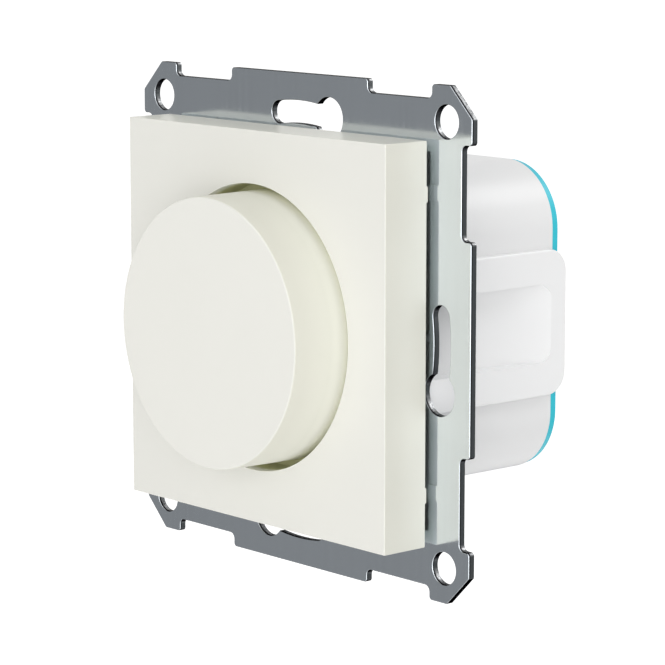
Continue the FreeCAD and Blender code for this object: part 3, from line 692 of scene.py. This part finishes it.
f = cover_finish = cream_moulding("cream_cover", 0.33, shaded_warm_side)
x, y, z = f.split(f.place)
from_axis = f.math("SQRT", f.math("ADD", f.math("MULTIPLY", x, x), f.math("MULTIPLY", z, z)))
# Painted light near the well's front edge, olive painted shade deeper in the well.
in_well = f.span(from_axis, 1.0, 0.0, well_radius, well_radius + 0.15 * mm)
below_seam = f.span(y, 0.0, 1.0, plate_front + 1.0 * mm, plate_front + 2.2 * mm)
tint(f, in_well, f.blend(below_seam, lit_well, olive_painted_shade))
# Painted shade on the hidden back of the rim, which faces the steel.
outward = f.math("MAXIMUM", f.math("ABSOLUTE", x), f.math("ABSOLUTE", z))
on_rim = f.span(y, 0.0, 1.0, plate_rim - 0.2 * mm, plate_rim - 0.05 * mm)
hidden = f.span(outward, 1.0, 0.0, plate_half - 1.2 * mm, plate_half - 0.2 * mm)
tint(f, f.math("MULTIPLY", on_rim, hidden), shaded_rim)

f = knob_finish = cream_moulding("cream_knob", 0.45, shaded_knob_side)
f.shader.inputs["Specular IOR Level"].default_value = 0.25
y = f.split(f.place)[1]
# Painted light: the knob's side is painted lighter in three steps towards the well, where the well shades it.
for start, end, colour in ((-6.5, -2.0, (0.815, 0.815, 0.725)),
                           (-2.0, -0.5, (0.9, 0.9, 0.81)),
                           (0.0, 1.0, (0.99, 0.99, 0.87))):
    tint(f, f.span(y, 0.0, 1.0, plate_front + start * mm, plate_front + end * mm), colour)
print("cream finishes:", cover_finish.material.name, knob_finish.material.name)

# %% [markdown]
# White and turquoise plastic of the parts that sit in the wall. The raised pads are painted a shade lighter
# than the tub, as painted light, and told apart by their distance from the middle; the scoops' floors get the
# same painted light. Towards the frame, seen through its slot, the scoop's floor is painted darker, a painted
# shade of the frame.

# %% Housing plastics
white = (0.82, 0.82, 0.82)
pad_painted_light = (0.875, 0.875, 0.875)
shaded_white = (0.48, 0.49, 0.49)
turquoise = (0.025, 0.54, 0.66)

f = white_finish = moulded("white_moulding", white, 0.33)
x, y, z = f.split(f.place)
# Painted light: pads and scoop floors are painted lighter than the tub, which the frame shades.
on_pad = f.span(f.math("ABSOLUTE", x), 0.0, 1.0, tub_half_x + 0.1 * mm, tub_half_x + 0.3 * mm)
in_scoop = f.span(f.math("ABSOLUTE", z), 1.0, 0.0, scoop_half, scoop_half + 0.2 * mm)
in_scoop = f.math("MULTIPLY", in_scoop, f.span(y, 0.0, 1.0, 2.0 * mm, 3.0 * mm))
tint(f, f.math("MAXIMUM", on_pad, in_scoop), pad_painted_light)
# Painted shade of the frame on the scoop's floor, darker towards the frame and towards the top.
near_frame = f.math("MULTIPLY", in_scoop, f.span(y, 1.0, 0.0, 5.0 * mm, 12.0 * mm))
shade = f.math("MULTIPLY", near_frame, f.span(z, 0.25, 1.0, -scoop_half, scoop_half))
tint(f, shade, shaded_white)
turquoise_finish = moulded("turquoise_moulding", turquoise, 0.33)
print("housing finishes:", white_finish.material.name, turquoise_finish.material.name)

# %% [markdown]
# ## Zinc plated sheet
# Rolling leaves fine upright streaks in gloss and tone, and shallow dents that bend what the sheet mirrors.
# The punch leaves a dark burnished band at the front of each wall and a grey torn band behind it, told apart
# by the depth, and walls are told from faces by the direction they look in. Walls that look up are painted
# bright and grainy behind a black front line, a painted reflection of the white above, and walls that look
# down are painted nearly black, as painted shade.

# %% Rolled and stamped steel
zinc = (0.81, 0.86, 0.905)
burnished = (0.035, 0.04, 0.045)
torn_grey = (0.13, 0.14, 0.145)
# Painted shade for walls that look down, painted reflection for walls that look up.
black_painted_shade = (0.02, 0.02, 0.022)
dull_painted_reflection = (0.16, 0.164, 0.167)
bright_painted_reflection = (0.34, 0.345, 0.35)


def stamped_steel(name):
    """Zinc plated sheet whose faces are rolled and whose walls are sheared."""
    f = Finish(name, zinc, 0.1, metal=1.0)
    streaks = f.noise(900, (1.0, 1.0, 0.03), detail=6, rough=0.65)
    broad = f.noise(120, (1.0, 1.0, 0.1), detail=3)
    tone = f.blend(f.span(streaks, 0, 1), f.shaded(0.93), f.shaded(1.0))
    tone = f.blend(f.span(broad, 0, 1), tone, f.shaded(0.98))
    facing = f.split(f.node("ShaderNodeTexCoord").outputs["Normal"])
    wall = f.span(f.math("ABSOLUTE", facing[1]), 1.0, 0.0, 0.1, 0.9)
    depth = f.split(f.place)[1]
    torn = f.span(depth, 0.0, 1.0, -0.78 * mm, -0.66 * mm)
    f.link(f.blend(wall, tone, f.blend(torn, burnished, torn_grey)), f.shader.inputs["Base Color"])
    # Painted reflection and shade: walls that look up are painted bright and grainy, walls that look down
    # nearly black.
    grain = f.blend(f.span(f.noise(3500, detail=2), 0.0, 1.0, 0.4, 0.6), dull_painted_reflection, bright_painted_reflection)
    grainy = f.span(depth, 0.0, 1.0, -0.68 * mm, -0.58 * mm)
    level_edge = f.span(f.math("ABSOLUTE", facing[0]), 1.0, 0.0, 0.1, 0.3)
    upward = f.span(facing[2], 0.0, 1.0, 0.15, 0.5)
    upward = f.math("MULTIPLY", f.math("MAXIMUM", wall, level_edge), upward)
    tint(f, upward, f.blend(grainy, black_painted_shade, grain))
    tint(f, f.span(facing[2], 1.0, 0.0, -0.5, -0.15), black_painted_shade)
    face_rough = f.span(streaks, 0.09, 0.15)
    f.link(f.math("ADD", face_rough, f.math("MULTIPLY", wall, 0.12)), f.shader.inputs["Roughness"])
    f.shader.inputs["Specular Tint"].default_value = (0.2, 0.2, 0.2, 1)
    dents = f.noise(600, (1.0, 1.0, 0.3), detail=4)
    f.link(f.raised(streaks, 0.0006 * mm, under=f.raised(dents, 0.004 * mm)), f.shader.inputs["Normal"])
    return f


steel_finish = stamped_steel("zinc_plated_sheet")
print("steel finish nodes:", len(steel_finish.tree.nodes))

# %% [markdown]
# ## Small metal and inner parts
# Turned, stamped and drawn metal differ in how their marks run. The boards, boxes and sleeves inside differ
# in colour, gloss, grain and in how uneven they are.

# %% Metals of the small pieces
def metal(name, colour, rough, marks=(1, 1, 1)):
    """Metal whose fine marks run the way that they are stretched."""
    f = Finish(name, colour, rough, metal=1.0)
    lines = f.noise(2500, marks, detail=5, rough=0.6)
    f.link(f.blend(f.span(lines, 0, 1), f.shaded(0.82), f.shaded(1.0)), f.shader.inputs["Base Color"])
    f.link(f.span(lines, rough - 0.07, rough + 0.09), f.shader.inputs["Roughness"])
    f.link(f.raised(lines, 0.003 * mm), f.shader.inputs["Normal"])
    return f


finishes = {
    "zinc_steel": steel_finish,
    "cream_plastic": cover_finish,
    "white_plastic": white_finish,
    "turquoise_plastic": turquoise_finish,
    "nickel_brass": metal("nickel_plate", (0.66, 0.63, 0.56), 0.22, (0.2, 6, 0.2)),
    "spring_steel": metal("spring_steel", (0.60, 0.61, 0.62), 0.25, (1, 0.2, 1)),
    "screw_steel": metal("zinc_screws", (0.58, 0.60, 0.62), 0.32),
    "contact_brass": metal("stamped_brass", (0.76, 0.58, 0.28), 0.30),
    "heat_aluminium": metal("mill_aluminium", (0.74, 0.75, 0.76), 0.36, (0.05, 1, 1)),
    "copper_wire": metal("lacquered_copper", (0.72, 0.28, 0.10), 0.26, (1, 4, 1)),
    "black_plastic": moulded("black_moulding", (0.022, 0.022, 0.023), 0.45, depth=0.01 * mm, uneven=0.2),
    "phenolic": moulded("brown_laminate", (0.24, 0.12, 0.05), 0.5, grain=3000, uneven=0.25),
    "board": moulded("green_board", (0.05, 0.22, 0.08), 0.38, grain=2500, uneven=0.2),
    "ferrite": moulded("pressed_ferrite", (0.09, 0.085, 0.085), 0.7, grain=5000, depth=0.02 * mm,
                       uneven=0.25),
    "yellow_film": moulded("film_box", (0.72, 0.50, 0.06), 0.35, uneven=0.08),
    "sleeve_blue": moulded("shrink_sleeve", (0.03, 0.06, 0.24), 0.28, uneven=0.15),
    "resistor_glaze": moulded("resistor_glaze", (0.50, 0.36, 0.20), 0.3, grain=4000, uneven=0.15),
    "fuse_clear": moulded("fuse_tube", (0.86, 0.90, 0.90), 0.05, uneven=0.03),
}

# %% [markdown]
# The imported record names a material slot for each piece, so the finishes are handed out by that name.

# %% Hand out the finishes
for entry in frame["record"]["subparts"]:
    node = frame["nodes"][entry["node"]]
    for slot in node.material_slots:
        slot.material = finishes[entry["material_slot"]].material
for piece, finish in ((steel, steel_finish), (cover, cover_finish), (knob, knob_finish),
                      (tub, white_finish), (lid, turquoise_finish), (coil, finishes["spring_steel"])):
    piece.data.materials.clear()
    piece.data.materials.append(finish.material)
print("finishes:", len(finishes))

# %% [markdown]
# ## Camera
# The photograph is taken from the right and a little above with a long lens. Distance and lens come from
# the edges measured in it.

# %% Camera at the photograph's place
azimuth = math.radians(48.8314)
elevation = math.radians(9.2066)
distance = 415.06 * mm
target = Vector((6.264 * mm, 0.034 * mm, -0.947 * mm))
sight = Vector((math.sin(azimuth) * math.cos(elevation), -math.cos(azimuth) * math.cos(elevation),
                math.sin(elevation)))
lens = bpy.data.cameras.new("camera")
lens.lens = 158.72
lens.sensor_width = 36
lens.clip_start = 0.01
lens.clip_end = 100
camera = bpy.data.objects.new("camera", lens)
bpy.context.collection.objects.link(camera)
camera.location = target + distance * sight
camera.rotation_euler = sight.to_track_quat("Z", "Y").to_euler()
bpy.context.scene.camera = camera
print("camera at", tuple(round(part, 4) for part in camera.location))

# %% [markdown]
# ## Stage and light
# The backdrop is white for the camera and in reflections, and lights the piece more gently. The floor lies
# well below, as the insert hangs free.

# %% White world
def seen_directly(tree):
    """True for rays from the camera, in mirrors and through glass."""
    path = tree.nodes.new("ShaderNodeLightPath")
    total = path.outputs["Is Camera Ray"]
    for name in ("Is Glossy Ray", "Is Transmission Ray"):
        both = tree.nodes.new("ShaderNodeMath")
        both.operation = "MAXIMUM"
        tree.links.new(total, both.inputs[0])
        tree.links.new(path.outputs[name], both.inputs[1])
        total = both.outputs[0]
    return total


world = bpy.data.worlds.new("studio")
world.use_nodes = True
bpy.context.scene.world = world
tree = world.node_tree
backdrop = tree.nodes["Background"]
backdrop.inputs["Color"].default_value = (1, 1, 1, 1)
fill_level = 0.57
level = tree.nodes.new("ShaderNodeMapRange")
level.inputs["To Min"].default_value = fill_level
level.inputs["To Max"].default_value = 1.0
tree.links.new(seen_directly(tree), level.inputs["Value"])
tree.links.new(level.outputs["Result"], backdrop.inputs["Strength"])
print("backdrop: 1.0 when seen, lights the piece at", fill_level)

# %% [markdown]
# The floor is plain and pale. For the camera it adds its own white, so that only the piece's soft shadow is
# darker.

# %% Floor
floor_size = 12
floor_level = -0.3
floor_glow = 0.62
let_go()
bpy.ops.mesh.primitive_plane_add(size=floor_size, location=(0, 0, floor_level))
floor = settle(bpy.context.object, "floor")
paper = bpy.data.materials.new("paper")
paper.use_nodes = True
tree = paper.node_tree
dull = tree.nodes["Principled BSDF"]
dull.inputs["Base Color"].default_value = (0.85, 0.85, 0.85, 1)
dull.inputs["Roughness"].default_value = 0.9
glow = tree.nodes.new("ShaderNodeEmission")
both = tree.nodes.new("ShaderNodeAddShader")
part_seen = tree.nodes.new("ShaderNodeMath")
part_seen.operation = "MULTIPLY"
part_seen.inputs[1].default_value = floor_glow
tree.links.new(seen_directly(tree), part_seen.inputs[0])
tree.links.new(part_seen.outputs[0], glow.inputs["Strength"])
tree.links.new(dull.outputs[0], both.inputs[0])
tree.links.new(glow.outputs[0], both.inputs[1])
tree.links.new(both.outputs[0], tree.nodes["Material Output"].inputs["Surface"])
floor.data.materials.append(paper)
print("floor lies at", floor_level)

# %% [markdown]
# Bright steel shows only what it mirrors, so it needs something grey to look at. Each card glows in its own
# grey, is seen by mirrors alone, and throws no shadow. The front card stands where the camera's sight is
# thrown by the frame's face, and the back cards stand low behind, clear of the centre plate's top.

# %% Grey cards
card_size = 0.56
card_reach = 0.5
front_grey = (0.238, 0.244, 0.25)
back_grey = (0.40, 0.41, 0.42)
card_lift = Vector((0, 0, 0.02))


def add_card(name, way, middle, tone):
    """Grey card that only the mirrors see, facing the dimmer from the given way."""
    let_go()
    bpy.ops.mesh.primitive_plane_add(size=card_size, location=(0, 0, 0))
    card = bpy.context.object
    card.location = card_reach * way + middle
    card.rotation_euler = way.to_track_quat("Z", "Y").to_euler()
    settle(card, name)
    grey = bpy.data.materials.new(name)
    grey.use_nodes = True
    glowing = grey.node_tree.nodes["Principled BSDF"]
    glowing.inputs["Base Color"].default_value = (0.0, 0.0, 0.0, 1)
    glowing.inputs["Roughness"].default_value = 1.0
    glowing.inputs["Emission Color"].default_value = (*tone, 1)
    glowing.inputs["Emission Strength"].default_value = 1.0
    card.data.materials.append(grey)
    card.visible_camera = False
    card.visible_shadow = False
    card.visible_diffuse = False
    return card


front_card = add_card("front_card", Vector((-sight.x, sight.y, -sight.z)), card_lift, front_grey)
back_cards = [add_card("back_card", Vector((side, 1.0, -0.75)).normalized(), Vector((0, 0, 0)), back_grey)
              for side in (-1.0, 1.0)]
print("cards:", 1 + len(back_cards))

# %% [markdown]
# Four soft boxes: a large one in front, the key at the right front, close to the camera's side so that it
# reaches into the gap round the knob, one above at the right and one behind above. They are set so that the
# cream face renders about as its colour is written.

# %% Soft boxes
box_reach = 1.2


def soft_box(name, azimuth_deg, elevation_deg, size, power):
    """Square lamp that faces the dimmer, placed by its direction as seen from the front."""
    a = math.radians(azimuth_deg)
    e = math.radians(elevation_deg)
    way = Vector((math.sin(a) * math.cos(e), -math.cos(a) * math.cos(e), math.sin(e)))
    lamp = bpy.data.lights.new(name, "AREA")
    lamp.shape = "SQUARE"
    lamp.size = size
    lamp.energy = power
    holder = bpy.data.objects.new(name, lamp)
    bpy.context.collection.objects.link(holder)
    holder.location = box_reach * way
    holder.rotation_euler = way.to_track_quat("Z", "Y").to_euler()
    print(name, "at", azimuth_deg, "degrees round and", elevation_deg, "up")


soft_box("front_box", 0, 8, size=1.0, power=2.6)
soft_box("key_box", 42, 6, size=0.8, power=5.8)
soft_box("roof_box", 80, 60, size=0.5, power=1.1)
soft_box("top_box", 150, 42, size=0.6, power=2.8)
bpy.context.scene.view_settings.view_transform = "Standard"
